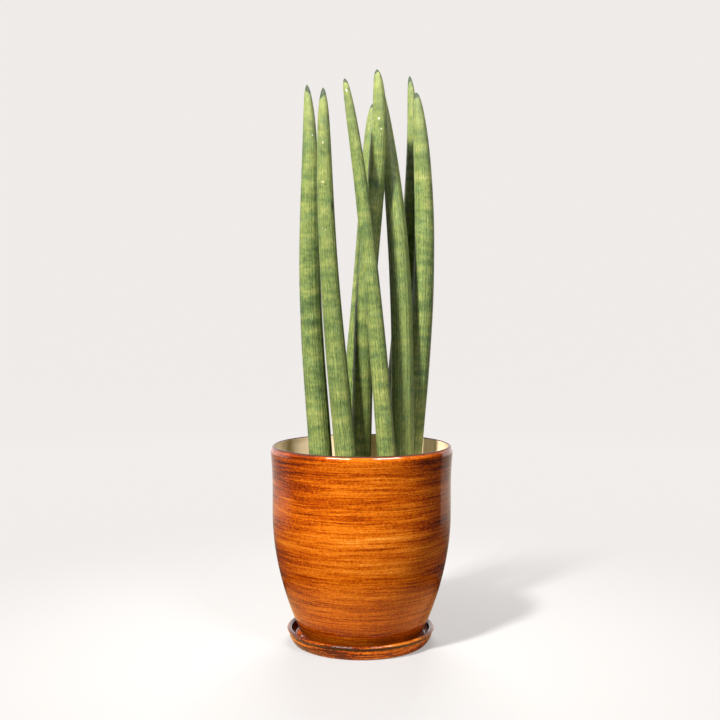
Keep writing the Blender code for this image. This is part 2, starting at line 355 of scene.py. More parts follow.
leafSkin = dict(
    fleckScale=(1050.0, 1050.0, 270.0),
    strandScale=(1250.0, 1250.0, 70.0),
    patchScale=(260.0, 260.0, 90.0),
    fleckSwing=0.88, strandSwing=0.60, patchSwing=0.25,
    fleckShift=0.0024, patchShift=0.0026,       # metres by which they shift the bands
    leafShift=1.7,                              # metres between the patterns of two leaves
    aroundScale=20.0,                           # how fast the bands change round the leaf
    # Scale, detail and swing of the broad, the narrow and the thin bands.
    bands=((0.9, 0.0, 0.45), (2.7, 1.0, 0.75), (6.5, 0.0, 0.20)),
    tones=((0.00, (0.032, 0.053, 0.018)), (0.22, (0.076, 0.116, 0.037)), (0.42, (0.136, 0.188, 0.053)),
           (0.58, (0.204, 0.252, 0.066)), (0.78, (0.300, 0.325, 0.088)), (1.00, (0.430, 0.440, 0.170))),
    # Painted light: the upper end of each leaf is mixed paler, as it is lit more strongly.
    tipLightRange=(0.090, 0.012, 0.0, 0.22), tipLightTone=(0.390, 0.390, 0.150, 1),
    coolScale=(70.0, 70.0, 110.0), coolRange=(0.48, 0.66, 0.0, 0.40), coolTint=(0.80, 0.97, 1.30, 1),
    # Painted shade: the furrows are darkened along their lines.
    furrowShadeRange=(0.38, 0.62, 0.90, 0.45), furrowShadeTone=(0.050, 0.074, 0.030, 1),
    # Painted shade: the channel is darkened.
    channelShadeShare=0.80, channelShadeTone=(0.030, 0.046, 0.018, 1),
    marginRange=(0.0011, 0.0004, 0.0, 0.75), marginTone=(0.20, 0.105, 0.060, 1),
    capRaggedness=0.0050, capSoftness=0.80, capShare=0.94,
    capTones=((0.014, 0.022, 0.012, 1), (0.070, 0.100, 0.052, 1)),
    roughnessRange=(0.3, 0.7, 0.42, 0.56), specular=0.3,
    fleckRelief=0.6, strandRelief=0.4, reliefDepth=0.0003,
)


# Half the thickness at the foot, in metres.
def fullRadius(shape):
    return shape["thick"] * 0.5 * millimetre


# Side = the quartic through the five places, depth = a straight run, both over the height.
def leafPath(shape, heights):
    start = leafMesh["startHeight"]
    rise = np.clip((heights - start) / (shape["tip"] * millimetre - start), 0.0, 1.0)
    places = np.array(shape["side"]) * millimetre
    quartic = np.polyfit(np.linspace(0.0, 1.0, len(places)), places, len(places) - 1)
    depth = np.interp(rise, (0.0, 1.0), np.array(shape["depth"]) * millimetre)
    return np.column_stack((np.polyval(quartic, rise), depth, heights)), rise


# Half thickness x (1 - rise^belly)^point.
def leafRadius(shape, rise):
    return fullRadius(shape) * (1.0 - rise ** shape["belly"]) ** shape["point"]


# Heights of the rings: a rounded foot, then rings that crowd towards the tip.
def leafHeights(tipHeight):
    start = leafMesh["startHeight"]
    foot = leafMesh["footHeight"] + leafMesh["footRounding"] * np.array(leafMesh["footRings"])
    steps = np.linspace(0.0, 1.0, leafMesh["along"] + 1)[:-1]
    return np.concatenate((foot, start + (tipHeight - start) * (1 - (1 - steps) ** leafMesh["crowding"])))


# Unit axes square to the path: one sideways and one to the back.
def leafAxes(path):
    tangent = np.gradient(path, axis=0)
    tangent /= np.linalg.norm(tangent, axis=1, keepdims=True)
    sideAxis = np.array([1.0, 0.0, 0.0]) - tangent[:, :1] * tangent
    sideAxis /= np.linalg.norm(sideAxis, axis=1, keepdims=True)
    return sideAxis, np.cross(tangent, sideAxis)


# How deep each point of the skin is furrowed: a bell over the arc distance to the nearest of the furrows,
# whose places round the leaf wander slightly; returns the sharp furrow, its wide valley and the channel.
def leafFurrows(rng, shape, angles, arcLength, rise):
    count, radius, stray = shape["grooves"], fullRadius(shape), leafMesh["grooveStray"]
    places = (np.arange(count) + rng.uniform(-stray, stray, count)) * fullTurn / count
    depths = rng.uniform(*leafMesh["grooveDepths"], count)
    swings = rng.uniform(*leafMesh["grooveSwings"], count)
    waves = rng.uniform(*leafMesh["grooveWaves"], count)
    phases = rng.uniform(0.0, fullTurn, count)
    centres = places + swings * np.sin(arcLength[:, None] * fullTurn / waves + phases)
    gap = turnGap(angles[None, :, None], centres[:, None, :]) * radius
    sharp = (bell(gap, leafMesh["grooveWidth"]) * depths).max(axis=-1)
    wide = bell(gap, leafMesh["valleyWidth"]).max(axis=-1)
    channel = bell(turnGap(angles, math.radians(shape["channel"])) * radius, leafMesh["channelWidth"])
    left = 1.0 - leafMesh["channelLoss"] * smoothStep(*leafMesh["channelFade"], rise)
    return sharp, wide, channel * left[:, None]


# Point = path + radius (cos(angle) side axis + sin(angle) depth axis), less the furrows.
def makeLeaf(name, shape, seed, material):
    rng = np.random.default_rng(seed)
    tipHeight = shape["tip"] * millimetre
    heights = leafHeights(tipHeight)
    path, rise = leafPath(shape, heights)
    sideAxis, depthAxis = leafAxes(path)
    arcLength = np.concatenate(([0.0], np.cumsum(np.linalg.norm(np.diff(path, axis=0), axis=1))))
    fromTip = tipHeight - heights

    foot = np.clip((heights - leafMesh["footHeight"]) / leafMesh["footRounding"], 0.0, 1.0)
    radius = leafRadius(shape, rise) * np.sqrt(1.0 - (1.0 - foot) ** 2)
    radius *= (1.0 - np.exp(-fromTip / (shape["nib"] * millimetre))) ** leafMesh["nibPower"]

    angles = np.linspace(0.0, fullTurn, leafMesh["around"], endpoint=False)
    sharp, wide, channel = leafFurrows(rng, shape, angles, arcLength, rise)
    share = (radius / fullRadius(shape) * smoothStep(0.0, leafMesh["smoothTip"], fromTip))[:, None]
    cut = leafMesh["grooveDepth"] * sharp + leafMesh["valleyDepth"] * wide
    cut = cut + leafMesh["channelDepth"] * channel

    # The skin laid out as a straight round bar, on which its noise and its pattern are worked out.
    around = np.stack((np.cos(angles), np.sin(angles)), axis=-1)
    skin = np.empty((len(heights), len(angles), 3))
    skin[..., :2] = around * fullRadius(shape)
    skin[..., 2] = arcLength[:, None]
    swelling = waveNoise(rng, skin * (1.0, 1.0, leafMesh["swellingStretch"]), leafMesh["swellingWaves"],
                         leafMesh["swellingCount"]) * leafMesh["unevenness"]
    outward = radius[:, None] * (1.0 + swelling * share) + (leafMesh["fullness"] - cut) * share

    across = around[None, :, :1] * sideAxis[:, None, :] + around[None, :, 1:] * depthAxis[:, None, :]
    points = path[:, None, :] + outward[..., None] * across
    footPole = path[0] - (0.0, 0.0, leafMesh["footRounding"] * leafMesh["footRings"][0])
    tipPole = leafPath(shape, np.array([tipHeight]))[0][0]
    poles = np.array([(0.0, 0.0, 0.0), (0.0, 0.0, arcLength[-1] + fromTip[-1])])
    masks = dict(
        grain=np.vstack((skin.reshape(-1, 3), poles)),
        groove=np.append((sharp * share).reshape(-1), (0.0, 0.0)),
        channel=np.append((channel * share).reshape(-1), (0.0, 0.0)),
        fromTip=np.append(np.repeat(fromTip, len(angles)), (fromTip[0], 0.0)))
    vertices = np.vstack((points.reshape(-1, 3), footPole, tipPole))
    faces = closedFaces(len(heights), len(angles), topFirst=False)
    return addPiece(name + "_spear", vertices, faces, material, masks)


# Skin of a leaf: soft cross-bands under fine flecks, furrow lines and a channel darkened with painted shade,
# a paler upper end that is painted light, a thin brown margin and a dark tip.
def makeLeafPattern():
    tree, given, out = makeGroup(
        "leafPattern",
        {"Grain": "Vector", "Groove": "Float", "Channel": "Float", "From Tip": "Float", "Shift": "Float",
         "Spacing": "Float", "Bands": "Float", "Cap": "Float", "Slant": "Float", "Tone": "Float",
         "Margin": "Vector"},
        {"Colour": "Color", "Roughness": "Float", "Height": "Float"})
    shift = addNode(tree, "CombineXYZ", {"Z": given["Shift"]}).outputs[0]
    grain = addNode(tree, "VectorMath", {0: given["Grain"], 1: shift}, operation="ADD").outputs[0]
    flecks = noise(tree, grain, leafSkin["fleckScale"], roughness=0.6)
    strands = noise(tree, grain, leafSkin["strandScale"])
    patches = noise(tree, grain, leafSkin["patchScale"])

    # Bands: noise along the leaf that hardly changes round it, shifted a little from strand to strand.
    x, y, z = axisParts(tree, grain)
    along = addSwing(tree, patches, leafSkin["patchShift"], addSwing(tree, flecks, leafSkin["fleckShift"], z))
    lifted = addNode(tree, "CombineXYZ", {
        0: maths(tree, "MULTIPLY", x, leafSkin["aroundScale"]),
        1: maths(tree, "MULTIPLY", y, leafSkin["aroundScale"]),
        2: maths(tree, "MULTIPLY", along, given["Spacing"])}).outputs[0]
    band = 0.0
    for scale, detail, swing in leafSkin["bands"]:
        band = addSwing(tree, noise(tree, lifted, (scale, scale, scale), detail), swing, band)
    tone = maths(tree, "MULTIPLY_ADD", band, given["Bands"], given["Tone"])
    tone = addSwing(tree, patches, leafSkin["patchSwing"], tone)
    tone = addSwing(tree, strands, leafSkin["strandSwing"], tone)
    tone = addSwing(tree, flecks, leafSkin["fleckSwing"], tone)
    colour = colourRamp(tree, maths(tree, "ADD", tone, 0.5), leafSkin["tones"])

    # Then a paler upper end (painted light), bluish patches, the furrows and the channel (both darkened with
    # painted shade) and the margin.
    # Painted light: paler towards the tip.
    tipLight = remap(tree, given["From Tip"], *leafSkin["tipLightRange"])
    colour = mixColours(tree, tipLight, colour, leafSkin["tipLightTone"])
    cool = remap(tree, noise(tree, grain, leafSkin["coolScale"]), *leafSkin["coolRange"])
    colour = mixColours(tree, cool, colour, leafSkin["coolTint"], "MULTIPLY")
    # Painted shade along the furrows.
    line = maths(tree, "MULTIPLY", given["Groove"], remap(tree, flecks, *leafSkin["furrowShadeRange"]))
    colour = mixColours(tree, line, colour, leafSkin["furrowShadeTone"])
    # Painted shade along the channel.
    channel = maths(tree, "MULTIPLY", given["Channel"], leafSkin["channelShadeShare"])
    colour = mixColours(tree, channel, colour, leafSkin["channelShadeTone"])
    level = addNode(tree, "CombineXYZ", {0: x, 1: y}).outputs[0]
    away = addNode(tree, "VectorMath", {0: level, 1: given["Margin"]}, operation="DISTANCE").outputs["Value"]
    colour = mixColours(tree, remap(tree, away, *leafSkin["marginRange"]), colour, leafSkin["marginTone"])

    # The hard dark tip starts at a slanting, ragged edge.
    edge = maths(tree, "MULTIPLY_ADD", x, given["Slant"], given["From Tip"])
    edge = addSwing(tree, flecks, leafSkin["capRaggedness"], edge)
    capEnd = maths(tree, "MULTIPLY", given["Cap"], leafSkin["capSoftness"])
    cap = addNode(tree, "MapRange", {0: edge, 1: given["Cap"], 2: capEnd, 3: 0.0, 4: leafSkin["capShare"]})
    colour = mixColours(tree, cap.outputs[0], colour, mixColours(tree, flecks, *leafSkin["capTones"]))

    relief = maths(tree, "MULTIPLY", strands, leafSkin["strandRelief"])
    relief = maths(tree, "MULTIPLY_ADD", flecks, leafSkin["fleckRelief"], relief)
    tree.links.new(colour, out["Colour"])
    tree.links.new(remap(tree, flecks, *leafSkin["roughnessRange"]), out["Roughness"])
    tree.links.new(relief, out["Height"])
    return tree


# A small ragged oval: 1 inside, 0 outside, at distance 1 in half sizes from its place.
def makeSpotMark():
    tree, given, out = makeGroup("spotMark", {"Vector": "Vector", "Place": "Vector", "Size": "Vector"},
                                 {"Mask": "Float"})
    offset = addNode(tree, "VectorMath", {0: given["Vector"], 1: given["Place"]}, operation="SUBTRACT")
    offset = addNode(tree, "VectorMath", {0: offset.outputs[0], 1: given["Size"]}, operation="DIVIDE")
    away = vectorLength(tree, offset.outputs[0])
    away = addSwing(tree, noise(tree, given["Vector"], markEdge["scale"]), markEdge["swing"], away)
    tree.links.new(remap(tree, away, *markEdge["range"]), out["Mask"])
    return tree


leafPattern = makeLeafPattern()
spotMark = makeSpotMark()


def makeLeafSkin(name, shape, index):
    material, tree, shader = makeMaterial(name + "_skin", {"Specular IOR Level": leafSkin["specular"]})
    turn, radius = math.radians(shape["margin"]), fullRadius(shape)
    pattern = useGroup(tree, leafPattern, {
        "Grain": attribute(tree, "grain", "Vector"), "Groove": attribute(tree, "groove"),
        "Channel": attribute(tree, "channel"), "From Tip": attribute(tree, "fromTip"),
        "Shift": leafSkin["leafShift"] * index, "Spacing": float(shape["spacing"]), "Bands": shape["bands"],
        "Cap": shape["cap"] * millimetre, "Slant": shape["slant"] * millimetre / radius,
        "Tone": shape["tone"], "Margin": (radius * math.cos(turn), radius * math.sin(turn), 0.0)})
    colour = pattern["Colour"]
    for spot, (halfWidth, halfHeight), kind in leafMarks.get(name, ()):
        mask = useGroup(tree, spotMark, {
            "Vector": objectPlace(tree), "Place": [part * millimetre for part in spot],
            "Size": (halfWidth * millimetre, markEdge["depth"], halfHeight * millimetre)})
        colour = mixColours(tree, mask["Mask"], colour, markColours[kind])
    tree.links.new(colour, shader["Base Color"])
    tree.links.new(pattern["Roughness"], shader["Roughness"])
    tree.links.new(bumpNormal(tree, pattern["Height"], leafSkin["reliefDepth"]), shader["Normal"])
    return material


for index, (name, shape) in enumerate(leaves.items()):
    spear = makeLeaf(name, shape, leafMesh["firstSeed"] + index, makeLeafSkin(name, shape, index))
    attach(spear, "root")
    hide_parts(name)
print("leaves made:", len(leaves))


# Glaze and clay, shared by pot and saucer

glazeSkin = dict(
    wanderScale=(8.0, 8.0, 16.0), wander=0.008,     # metres by which the strokes rise and fall
    broadScale=(9.0, 9.0, 55.0), mediumScale=(9.0, 9.0, 330.0), fineScale=(24.0, 24.0, 900.0),
    mottlingScale=(420.0, 420.0, 620.0),
    broadSwing=0.80, mediumSwing=1.00, fineSwing=1.15, mottlingSwing=0.80,
    tones=((0.00, (0.070, 0.008, 0.001)), (0.16, (0.210, 0.025, 0.001)), (0.34, (0.400, 0.062, 0.001)),
           (0.50, (0.560, 0.122, 0.003)), (0.68, (0.680, 0.180, 0.009)), (0.86, (0.790, 0.275, 0.030)),
           (1.00, (0.880, 0.400, 0.080))),
    threadScale=(7.0, 7.0, 420.0), threadWidth=0.018,
    threadRange=(0.58, 0.40, 0.05, 0.65), threadTone=(0.13, 0.016, 0.001, 1),
    mediumRelief=0.6, fineRelief=0.4, reliefDepth=0.0002,
    roughness=0.38, bareRoughness=0.9,
    shader={"Coat Weight": 1.0, "Coat Roughness": 0.03, "Coat IOR": 1.5, "Specular IOR Level": 0.0},
)

claySkin = dict(
    gritScale=(900.0, 900.0, 900.0), gritRange=(0.4, 0.65),
    tones=((0.36, 0.19, 0.10, 1), (0.50, 0.30, 0.17, 1)),
)


# Brushed glaze that looks like polished wood: strokes that run round the pot at several scales, broken up
# by fine mottling. Contrast widens the spread of tones and Tone moves all of them.
def makeBrushedGlaze():
    tree, given, out = makeGroup(
        "brushedGlaze", {"Vector": "Vector", "Coarseness": "Float", "Contrast": "Float", "Tone": "Float"},
        {"Colour": "Color", "Height": "Float"})
    place = given["Vector"]
    x, y, z = axisParts(tree, place)
    level = addSwing(tree, noise(tree, place, glazeSkin["wanderScale"]), glazeSkin["wander"], z)
    level = maths(tree, "MULTIPLY", level, given["Coarseness"])
    turned = addNode(tree, "CombineXYZ", {0: x, 1: y, 2: level}).outputs[0]
    broad = noise(tree, turned, glazeSkin["broadScale"])
    medium = noise(tree, turned, glazeSkin["mediumScale"], 3.0, 0.6)
    fine = noise(tree, turned, glazeSkin["fineScale"], 3.0, 0.65)
    mottling = noise(tree, place, glazeSkin["mottlingScale"], 2.0, 0.6)
    tone = addSwing(tree, broad, glazeSkin["broadSwing"], addSwing(tree, medium, glazeSkin["mediumSwing"]))
    tone = addSwing(tree, fine, glazeSkin["fineSwing"], tone)
    tone = addSwing(tree, mottling, glazeSkin["mottlingSwing"], tone)
    tone = maths(tree, "ADD", maths(tree, "MULTIPLY_ADD", tone, given["Contrast"], 0.5), given["Tone"])
    colour = colourRamp(tree, tone, glazeSkin["tones"])

    # Thin dark threads run where a slow noise crosses its mean, mostly in the dark broad strokes.
    threads = noise(tree, turned, glazeSkin["threadScale"])
    thread = maths(tree, "ABSOLUTE", maths(tree, "SUBTRACT", threads, 0.5))
    thread = remap(tree, thread, glazeSkin["threadWidth"], 0.0)
    thread = maths(tree, "MULTIPLY", thread, remap(tree, broad, *glazeSkin["threadRange"]))
    relief = maths(tree, "MULTIPLY", fine, glazeSkin["fineRelief"])
    relief = maths(tree, "MULTIPLY_ADD", medium, glazeSkin["mediumRelief"], relief)
    tree.links.new(mixColours(tree, thread, colour, glazeSkin["threadTone"]), out["Colour"])
    tree.links.new(relief, out["Height"])
    return tree


# Unglazed fired clay for the foot rings: warm buff with fine grit.
def makeBareClay():
    tree, given, out = makeGroup("bareClay", {"Vector": "Vector"}, {"Colour": "Color"})
    grit = remap(tree, noise(tree, given["Vector"], claySkin["gritScale"], 3.0, 0.6), *claySkin["gritRange"])
    tree.links.new(mixColours(tree, grit, *claySkin["tones"]), out["Colour"])
    return tree


brushedGlaze = makeBrushedGlaze()
bareClay = makeBareClay()


# Colour, roughness, coat and relief of a glazed piece, whose mask "clay" leaves its foot unglazed. The
# value bare thins the coat in other places.
def finishGlaze(tree, shader, colour, height, bare):
    clayMask = attribute(tree, "clay")
    clayColour = useGroup(tree, bareClay, {"Vector": objectPlace(tree)})["Colour"]
    roughness = remap(tree, clayMask, 0.0, 1.0, glazeSkin["roughness"], glazeSkin["bareRoughness"])
    coat = remap(tree, maths(tree, "MAXIMUM", clayMask, bare), 0.0, 1.0, 1.0, 0.0)
    tree.links.new(mixColours(tree, clayMask, colour, clayColour), shader["Base Color"])
    tree.links.new(roughness, shader["Roughness"])
    tree.links.new(coat, shader["Coat Weight"])
    tree.links.new(bumpNormal(tree, height, glazeSkin["reliefDepth"]), shader["Normal"])


# Pot

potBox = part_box("pot")
pot = dict(
    columns=288,
    footZ=potBox[0].z, footRadius=0.0590, footWidth=0.0085, footRecess=0.0025, footBevel=0.0012,
    floorTop=0.0134, floorCorner=0.0040, drainRadius=0.0070, drainBevel=0.0006,
    bellyRadius=0.0896, bellyZ=0.1290, bellyPower=1.9,
    flare=0.0024, flareZ=0.1550, rimZ=potBox[1].z,
    shoulder=(0.0038, 0.0060), innerLip=(0.0008, 0.0014),   # half sizes of the lip's outer and inner rounding
    wallTop=0.0046, wallBottom=0.0062,
    innerRows=(36, 24), outerRows=(32, 70),     # rings on each side, closer together above denseZ
    denseZ=0.155, innerEndZ=0.150, outerEndZ=0.152,
    lipBlend=0.004, footRise=0.002,             # the straight rows end this far from lip and foot
    middleShare=0.8, maskEdge=0.0004,           # inside and outside part within the wall
    outerLine=(0.0016, 0.0007), innerLine=(0.0013, 0.0005),     # depths below the rim of its dark line
    bareFoot=(0.0016, 0.0006),                  # heights above the foot where the glaze ends
    contrast=0.92,
    rightShade=(0.030, 0.086, 0.0, -0.15),        # painted shade darkens the right and the left; towards the rim, darker glaze and painted shade
    leftShade=(-0.012, -0.084, 0.0, -0.22),
    rimGlazeAndShade=(0.150, 0.192, 0.0, -0.09),
    baseRange=(0.010, 0.045, 0.30, 0.0), baseTone=(0.20, 0.032, 0.003, 1),
    creamScale=(60.0, 60.0, 90.0), creams=((0.92, 0.70, 0.44, 1), (0.96, 0.76, 0.50, 1)),
    rimTone=(0.070, 0.027, 0.018, 1), rimDulling=0.5,
)


# Foot + (belly - foot)(1 - (1 - rise)^power), then a squared flare to the rim.
def potOuterRadius(height):
    rise = np.clip((height - pot["footZ"]) / (pot["bellyZ"] - pot["footZ"]), 0.0, 1.0)
    swell = 1.0 - (1.0 - rise) ** pot["bellyPower"]
    flare = np.clip((height - pot["flareZ"]) / (pot["rimZ"] - pot["flareZ"]), 0.0, 1.0) ** 2
    return pot["footRadius"] + (pot["bellyRadius"] - pot["footRadius"]) * swell + pot["flare"] * flare


# Outer radius less a wall that thins evenly towards the rim.
def potInnerRadius(height):
    rise = (height - pot["footZ"]) / (pot["rimZ"] - pot["footZ"])
    return potOuterRadius(height) - (pot["wallBottom"] + (pot["wallTop"] - pot["wallBottom"]) * rise)


# Drain hole, floor, inner wall, rounded lip, outer wall and foot ring, as one closed loop.
def potProfile():
    corner, bevel, halfBevel = pot["floorCorner"], pot["footBevel"], pot["footBevel"] / 2
    outerLip, innerLip, blend = pot["shoulder"], pot["innerLip"], pot["lipBlend"]
    shoulderZ = pot["rimZ"] - outerLip[1]
    lipStart = pot["rimZ"] - innerLip[1]
    crest = potOuterRadius(shoulderZ) - outerLip[0]
    cornerZ = pot["floorTop"] + corner
    lowestZ = pot["footZ"] + pot["footRise"]
    innerZ = np.concatenate((np.linspace(cornerZ, pot["innerEndZ"], pot["innerRows"][0]),
                             np.linspace(pot["denseZ"], lipStart - blend, pot["innerRows"][1])))
    innerR = potInnerRadius(innerZ)
    outerZ = np.concatenate((np.linspace(shoulderZ, pot["denseZ"], pot["outerRows"][0])[1:],
                             np.linspace(pot["outerEndZ"], lowestZ, pot["outerRows"][1])))
    footIn = pot["footRadius"] - pot["footWidth"]
    underside = pot["footZ"] + pot["footRecess"]
    drain, drainBevel = pot["drainRadius"], pot["drainBevel"]
    return np.vstack((
        [(drain, pot["floorTop"] - drainBevel), (drain + drainBevel, pot["floorTop"])],
        [(potInnerRadius(pot["floorTop"]) - corner, pot["floorTop"])],
        arcPoints((innerR[0] - corner, cornerZ), (corner, corner), -80, -10, 7),
        np.column_stack((innerR, innerZ)),
        [((innerR[-1] + crest - innerLip[0]) / 2, lipStart - blend / 2)],
        arcPoints((crest, lipStart), innerLip, 180, 100, 9),
        arcPoints((crest, shoulderZ), outerLip, 90, 0, 19),
        np.column_stack((potOuterRadius(outerZ), outerZ)),
        arcPoints((pot["footRadius"] - bevel, pot["footZ"] + bevel), (bevel, bevel), 0, -90, 6),
        arcPoints((footIn + halfBevel, pot["footZ"] + halfBevel), (halfBevel, halfBevel), -90, -180, 4),
        [(footIn - 0.0010, underside), (drain + drainBevel, underside), (drain, underside + drainBevel)],
    ))


# Where the pot is cream inside, has its dark rim line and is left unglazed, from 0 to 1 along the profile.
def potMasks(profile):
    radius, height = profile.T
    middle = potOuterRadius(height) - pot["wallTop"] * pot["middleShare"]
    underside = pot["footZ"] + pot["footRecess"] + 0.001
    inside = smoothStep(pot["maskEdge"], -pot["maskEdge"], radius - middle) * (height > underside)
    fromRim = pot["rimZ"] - height
    rimLine = np.where(radius > middle + 2.0 * pot["maskEdge"],
                       smoothStep(*pot["outerLine"], fromRim), smoothStep(*pot["innerLine"], fromRim))
    clay = np.maximum(smoothStep(*pot["bareFoot"], height - pot["footZ"]),
                      (height < underside) * (radius < pot["footRadius"] - 0.0005))
    return dict(inside=inside, rimLine=rimLine, clay=clay)


def makePot():
    material, tree, shader = makeMaterial("potGlaze", glazeSkin["shader"])
    place = objectPlace(tree)
    x, y, z = axisParts(tree, place)
    # Painted shade: the glaze is darkened towards the right and the left side of the pot, and towards the
    # rim, where it is partly darker glaze and partly painted shade.
    shadeAndRimGlaze = maths(tree, "ADD", remap(tree, x, *pot["rightShade"]), remap(tree, x, *pot["leftShade"]))
    shadeAndRimGlaze = maths(tree, "ADD", shadeAndRimGlaze, remap(tree, z, *pot["rimGlazeAndShade"]))
    glaze = useGroup(tree, brushedGlaze, {"Vector": place, "Coarseness": 1.0, "Contrast": pot["contrast"],
                                          "Tone": shadeAndRimGlaze})
    colour = mixColours(tree, remap(tree, z, *pot["baseRange"]), glaze["Colour"], pot["baseTone"])
    cream = mixColours(tree, noise(tree, place, pot["creamScale"]), *pot["creams"])
    colour = mixColours(tree, attribute(tree, "inside"), colour, cream)
    line = attribute(tree, "rimLine")
    colour = mixColours(tree, line, colour, pot["rimTone"])
    finishGlaze(tree, shader, colour, glaze["Height"], maths(tree, "MULTIPLY", line, pot["rimDulling"]))
    profile = potProfile()
    body = turnedPiece("glazed_pot", profile, pot["columns"], material, loop=True, masks=potMasks(profile))
    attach(body, "root")
    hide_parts("pot")


makePot()
print("pot made")


# Saucer

saucer = dict(
    columns=256, offsetX=-0.0012,
    footRadius=0.0672, footWidth=0.0150, recess=0.0010,
    floorTop=0.0036, floorRadius=0.0640, corner=(0.0040, 0.0042),
    beadRadius=0.0716, beadHalf=(0.0024, 0.0016), beadHeight=0.0131,
    wallTop=0.0110, wallEnd=0.0012, wallSwell=0.0052,
    bareFoot=(0.0010, 0.0002), bareRadius=0.055,            # unglazed below and within these
    beadRange=(0.0095, 0.0108), wallRange=(0.0112, 0.0100),     # heights where bead and wall begin
    underTurn=(0.0, -28.0), innerTurn=(95.0, 140.0), backTurn=-100.0,   # degrees round the bead
    # The dark edge tone is painted shade under and inside the bead, over a darker glaze on all of it.
    innerShadeShare=0.8, beadDarkening=0.45, beadShadeAndGlazeTone=(0.022, 0.007, 0.004, 1),
    coarseness=0.55, contrast=1.9, tone=-0.25,
    brushScale=(26.0, 26.0, 330.0), brushRange=(0.55, 0.62), brushTone=(0.66, 0.20, 0.016, 1),
)


# Foot + swell (1 - (1 - rise)^2).
def saucerWall(height):
    rise = height / saucer["wallTop"]
    return saucer["footRadius"] + saucer["wallSwell"] * (1.0 - (1.0 - rise) ** 2)


# Floor, inner corner, rolled bead, bulging wall, foot ring and recess, from axis to axis.
def saucerProfile():
    floorRadius, floorTop, foot = saucer["floorRadius"], saucer["floorTop"], saucer["footRadius"]
    inner, recess = foot - saucer["footWidth"], saucer["recess"]
    wallZ = np.linspace(saucer["wallTop"], saucer["wallEnd"], 12)
    return np.vstack((
        [(0.0, floorTop)],
        [(radius, floorTop) for radius in np.linspace(0.004, floorRadius, 12)],
        arcPoints((floorRadius, floorTop + saucer["corner"][1]), saucer["corner"], -80, -5, 8),
        arcPoints((saucer["beadRadius"], saucer["beadHeight"]), saucer["beadHalf"], 195, -52, 28),
        np.column_stack((saucerWall(wallZ), wallZ)),
        arcPoints((foot - 0.0005, 0.0008), (0.0008, 0.0008), -10, -90, 5),
        [(inner, 0.0), (inner - 0.0004, 0.0002), (inner - 0.0010, recess)],
        [(0.02, recess), (0.0, recess)],
    ))


# Where the saucer is unglazed, where its bead is darkened, and where its outer wall is. The bead's dark edges
# are painted shade, under it and on its inner side towards the pot, over a darker glaze tone on the whole
# bead.
def saucerMasks(profile):
    radius, height = profile.T
    clay = smoothStep(*saucer["bareFoot"], height)
    clay = clay + (height < saucer["recess"] + 0.0001) * (radius < saucer["bareRadius"])
    turn = np.degrees(np.arctan2(height - saucer["beadHeight"], radius - saucer["beadRadius"]))
    nearBead = smoothStep(*saucer["beadRange"], height)
    outside = turn > saucer["backTurn"]
    # Painted shade under the bead and on its inner side, in the gap towards the pot.
    under = smoothStep(*saucer["underTurn"], turn) * outside
    inner = (smoothStep(*saucer["innerTurn"], turn) + (turn < saucer["backTurn"])) * saucer["innerShadeShare"]
    edge = np.clip((under + inner + saucer["beadDarkening"]) * nearBead, 0.0, 1.0)
    wall = smoothStep(*saucer["wallRange"], height) * (radius > saucer["floorRadius"] + 0.003) * outside
    return dict(clay=np.clip(clay, 0.0, 1.0), edge=edge, wall=wall)


def makeSaucer():
    material, tree, shader = makeMaterial("saucerGlaze", glazeSkin["shader"])
    place = objectPlace(tree)
    glaze = useGroup(tree, brushedGlaze, {"Vector": place, "Coarseness": saucer["coarseness"],
                                          "Contrast": saucer["contrast"], "Tone": saucer["tone"]})
    strokes = remap(tree, noise(tree, place, saucer["brushScale"], 4.0, 0.62), *saucer["brushRange"])
    strokes = maths(tree, "MULTIPLY", attribute(tree, "wall"), strokes)
    colour = mixColours(tree, strokes, glaze["Colour"], saucer["brushTone"])
    # Painted shade under and inside the bead, over its darker glaze.
    colour = mixColours(tree, attribute(tree, "edge"), colour, saucer["beadShadeAndGlazeTone"])
    finishGlaze(tree, shader, colour, glaze["Height"], 0.0)
    profile = saucerProfile()
    dish = turnedPiece("glazed_saucer", profile, saucer["columns"], material, centreX=saucer["offsetX"],
                       masks=saucerMasks(profile))
    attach(dish, "root")
    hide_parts("saucer")


makeSaucer()
print("saucer made")


# Soil

soil = dict(
    columns=192, rings=46, crowding=0.8, wallRings=20,
    topZ=0.1650, crown=0.0020, gap=0.0004,
    lumps=0.0009, lumpWaves=(0.005, 0.022), lumpCount=28, lumpSeed=5,
    levelEdge=0.006,                            # the lumps fade out over this distance from the wall
    collar=0.0012, collarWidth=0.0035,
    edgeDrop=0.005, cornerRise=0.0046,          # where the rings down the wall start and end
    peats=((0.020, 0.012, 0.007, 1), (0.060, 0.036, 0.020, 1)),
)

bark = dict(
    chips=520, columns=8, rows=4, seed=23,
    sizes=(0.0016, 0.0048), widths=(0.45, 0.9), thicknesses=(0.22, 0.5),    # half length, then shares of it
    wallGap=0.004, leafGap=0.75,                # metres, and a share of the chip's size
    lumpiness=0.24, tilt=0.4, raised=0.10,
    tones=((0.050, 0.026, 0.013, 1), (0.22, 0.115, 0.055, 1)),
)

crumb = dict(
    scale=(420.0, 420.0, 420.0), paleRange=(0.42, 0.66),
    # Painted shade in the hollows of the crumb relief.
    hollowShadeRange=(0.35, 0.6, 0.6, 0.0), hollowShadeTone=(0.012, 0.008, 0.005, 1),
    roughnessRange=(0.3, 0.7, 0.75, 0.95), specular=0.2, reliefDepth=0.0008,
)


# Centre and radius of each leaf where it leaves the soil.
def leafFeet():
    feet = []
    for shape in leaves.values():
        place, rise = leafPath(shape, np.array([soil["topZ"]]))
        feet.append((place[0, 0], place[0, 1], leafRadius(shape, rise[0])))
    return np.array(feet)


